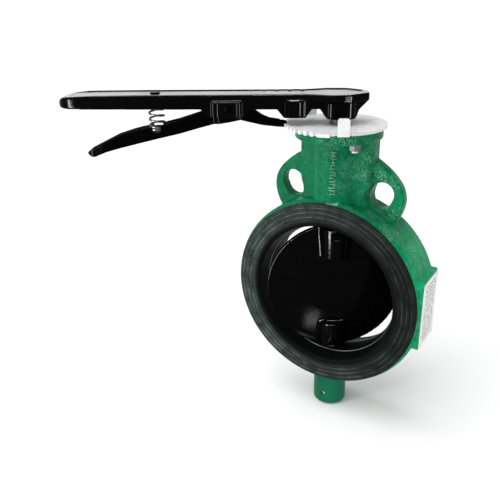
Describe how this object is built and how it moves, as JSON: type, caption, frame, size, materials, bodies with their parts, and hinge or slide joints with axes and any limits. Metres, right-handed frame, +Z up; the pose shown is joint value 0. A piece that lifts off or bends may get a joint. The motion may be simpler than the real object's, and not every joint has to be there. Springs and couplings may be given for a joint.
{
  "type": "butterfly valve",
  "caption": "Wafer butterfly valve with rubber-lined ring body, pinned disc, locating lugs, notched latch plate and a squeeze-trigger hand lever.",
  "frame": {"origin": "centre of the pipe bore, midway between the two sealing faces", "axes": "+Y along the pipe towards the rear flange, -Y out of the front face, +Z up the stem, +X to the right seen from the front"},
  "size_m": [0.3455, 0.1914, 0.3563],
  "materials": {
    "green_iron": "green coating on cast iron",
    "liner_rubber": "moulded rubber",
    "bearing_plastic": "machined bearing plastic",
    "seal_rubber": "moulded seal rubber",
    "zinc_steel": "bright zinc plate",
    "stem_steel": "plain machined steel",
    "black_disc": "gloss black coating",
    "black_lever": "gloss black coating",
    "spring_wire": "drawn wire",
    "plate_print": "printed aluminium"
  },
  "bodies": {
    "valve": {"valve_body": "green_iron", "seat_liner": "liner_rubber", "upper_bush": "bearing_plastic", "lower_bush": "bearing_plastic", "upper_stem_o_rings": "seal_rubber", "lower_stem_o_ring": "seal_rubber", "wiper_seal": "seal_rubber", "thrust_washer": "bearing_plastic", "stem_retaining_screw": "zinc_steel", "notch_plate": "zinc_steel", "plate_screws": "zinc_steel", "plate_washers": "stem_steel", "plate_nuts": "stem_steel", "name_plate": "plate_print", "name_plate_rivets": "zinc_steel"},
    "drive": {"upper_stem": "stem_steel", "lower_stem": "stem_steel", "stem_circlip": "spring_wire", "disc": "black_disc", "upper_disc_pin": "black_disc", "lower_disc_pin": "black_disc", "lever_handle": "black_lever", "lever_clamp_screw": "zinc_steel", "spring_guide_rivet": "black_lever", "trigger_pivot_pin": "black_lever", "trigger_spring": "spring_wire"},
    "trigger": {"trigger_lever": "black_lever"}
  },
  "joints": [
    {"name": "stem_turn", "type": "hinge", "parent": "valve", "child": "drive", "pos_m": [0, 0, 0], "axis": [0, 0, 1], "range_deg": [-30, 60]},
    {"name": "trigger_squeeze", "type": "hinge", "parent": "drive", "child": "trigger", "pos_m": [-0.0924, -0.05335, 0.1958], "axis": [-0.5, 0.866, 0], "range_deg": [0, 8], "stiffness_Nm_per_rad": 3, "springref_deg": -8.59, "deforming": ["trigger_spring"]}
  ]
}
